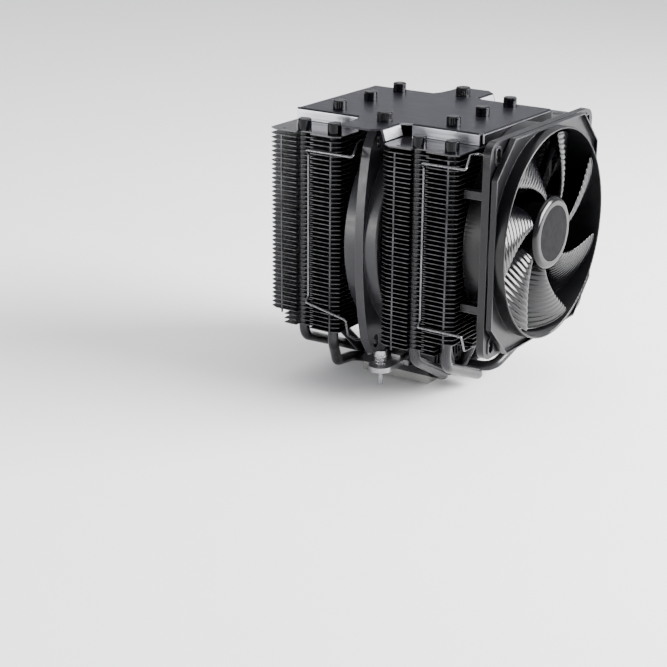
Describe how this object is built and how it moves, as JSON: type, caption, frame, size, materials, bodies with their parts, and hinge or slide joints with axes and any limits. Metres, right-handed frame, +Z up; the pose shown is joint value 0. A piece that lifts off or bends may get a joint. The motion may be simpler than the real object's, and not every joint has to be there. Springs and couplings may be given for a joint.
{
  "type": "cpu tower cooler",
  "caption": "Twin-tower air cooler for a processor: dark fin stacks on U-shaped heat pipes, a middle and a front fan held by wire clips, under a brushed cover plate.",
  "frame": {"origin": "centre of the contact face that lies on the processor", "axes": "+Z up through the towers to the cover, +X out of the front fan, and Y along the fins"},
  "size_m": [0.1458, 0.1404, 0.1604],
  "materials": {
    "fins": "thin dark-plated aluminium, bright at the stamped edges",
    "top_plates": "glossy black coated metal sheet",
    "cover": "dark blue-grey brushed anodised sheet with bright folded edges",
    "caps": "glossy black",
    "plugs": "satin black with fine flutes",
    "pipes": "black coated copper",
    "contact_plate": "nickel-plated copper, fine machined lines",
    "base_block": "black anodised aluminium",
    "steel": "satin steel",
    "screws": "zinc-plated steel",
    "springs": "spring steel",
    "front_frame": "satin black glass-filled plastic",
    "middle_frame": "satin grey-black plastic",
    "rotors": "satin black plastic with concentric ridges",
    "hub_discs": "satin dark grey disc, left plain",
    "strips": "soft black rubber",
    "wires": "dark spring steel wire",
    "rotor_steel": "pressed steel",
    "shafts": "ground steel",
    "magnets": "bonded ferrite",
    "bearings": "sintered bronze",
    "stator_steel": "laminated steel",
    "windings": "enamelled copper wire",
    "board": "glass-epoxy board"
  },
  "bodies": {
    "cooler": {"contact_plate": "contact_plate", "base_block": "base_block", "base_screws": "steel", "mounting_bridge": "steel", "heat_pipe_1": "pipes", "heat_pipe_2": "pipes", "heat_pipe_3": "pipes", "heat_pipe_4": "pipes", "heat_pipe_5": "pipes", "heat_pipe_6": "pipes", "heat_pipe_7": "pipes", "rear_fin_stack": "fins", "front_fin_stack": "fins", "rear_top_plate": "top_plates", "front_top_plate": "top_plates", "top_cover": "cover", "raised_pipe_caps": "caps", "lower_pipe_caps": "caps", "front_fan_frame": "front_frame", "middle_fan_frame": "middle_frame", "front_fan_strips": "strips", "middle_fan_strips": "strips", "near_screw_spring": "springs", "far_screw_spring": "springs", "front_fan_bearing": "bearings", "front_fan_stator_core": "stator_steel", "front_fan_stator_windings": "windings", "front_fan_circuit_board": "board", "middle_fan_bearing": "bearings", "middle_fan_stator_core": "stator_steel", "middle_fan_stator_windings": "windings", "middle_fan_circuit_board": "board"},
    "front_rotor": {"front_fan_rotor": "rotors", "front_fan_rotor_cup": "rotor_steel", "front_fan_ring_magnet": "magnets", "front_fan_shaft": "shafts", "front_fan_hub_disc": "hub_discs"},
    "front_near_wire": {"front_near_clip": "wires"},
    "front_far_wire": {"front_far_clip": "wires"},
    "middle_rotor": {"middle_fan_rotor": "rotors", "middle_fan_rotor_cup": "rotor_steel", "middle_fan_ring_magnet": "magnets", "middle_fan_shaft": "shafts", "middle_fan_hub_disc": "hub_discs"},
    "middle_near_wire": {"middle_near_clip": "wires"},
    "middle_far_wire": {"middle_far_clip": "wires"},
    "near_screw_carrier": {"near_screw_washer": "steel"},
    "near_screw": {"near_mounting_screw": "screws", "near_retaining_ring": "steel"},
    "near_plug": {"near_access_plug": "plugs"},
    "far_screw_carrier": {"far_screw_washer": "steel"},
    "far_screw": {"far_mounting_screw": "screws", "far_retaining_ring": "steel"},
    "far_plug": {"far_access_plug": "plugs"}
  },
  "joints": [
    {"name": "front_fan_spin", "type": "hinge", "parent": "cooler", "child": "front_rotor", "pos_m": [0.0735, 0, 0.095], "axis": [1, 0, 0], "continuous": true},
    {"name": "middle_fan_spin", "type": "hinge", "parent": "cooler", "child": "middle_rotor", "pos_m": [0, 0, 0.088], "axis": [1, 0, 0], "continuous": true},
    {"name": "front_near_clip_swing", "type": "hinge", "parent": "cooler", "child": "front_near_wire", "pos_m": [0.0735, -0.0525, 0.095], "axis": [0, 0, 1], "range_deg": [0, 24]},
    {"name": "front_far_clip_swing", "type": "hinge", "parent": "cooler", "child": "front_far_wire", "pos_m": [0.0735, 0.0525, 0.095], "axis": [0, 0, -1], "range_deg": [0, 24]},
    {"name": "middle_near_clip_swing", "type": "hinge", "parent": "cooler", "child": "middle_near_wire", "pos_m": [0, -0.0525, 0.088], "axis": [0, 0, 1], "range_deg": [0, 24]},
    {"name": "middle_far_clip_swing", "type": "hinge", "parent": "cooler", "child": "middle_far_wire", "pos_m": [0, 0.0525, 0.088], "axis": [0, 0, -1], "range_deg": [0, 24]},
    {"name": "near_screw_press", "type": "slide", "parent": "cooler", "child": "near_screw_carrier", "axis": [0, 0, -1], "range_m": [0, 0.0025], "stiffness_N_per_m": 3000, "springref_m": -0.003, "deforming": ["near_screw_spring"]},
    {"name": "near_screw_turn", "type": "hinge", "parent": "near_screw_carrier", "child": "near_screw", "pos_m": [0, -0.043, 0.02], "axis": [0, 0, 1], "continuous": true},
    {"name": "near_plug_lift", "type": "slide", "parent": "cooler", "child": "near_plug", "axis": [0, 0, 1], "range_m": [0, 0.008]},
    {"name": "far_screw_press", "type": "slide", "parent": "cooler", "child": "far_screw_carrier", "axis": [0, 0, -1], "range_m": [0, 0.0025], "stiffness_N_per_m": 3000, "springref_m": -0.003, "deforming": ["far_screw_spring"]},
    {"name": "far_screw_turn", "type": "hinge", "parent": "far_screw_carrier", "child": "far_screw", "pos_m": [0, 0.043, 0.02], "axis": [0, 0, 1], "continuous": true},
    {"name": "far_plug_lift", "type": "slide", "parent": "cooler", "child": "far_plug", "axis": [0, 0, 1], "range_m": [0, 0.008]}
  ]
}
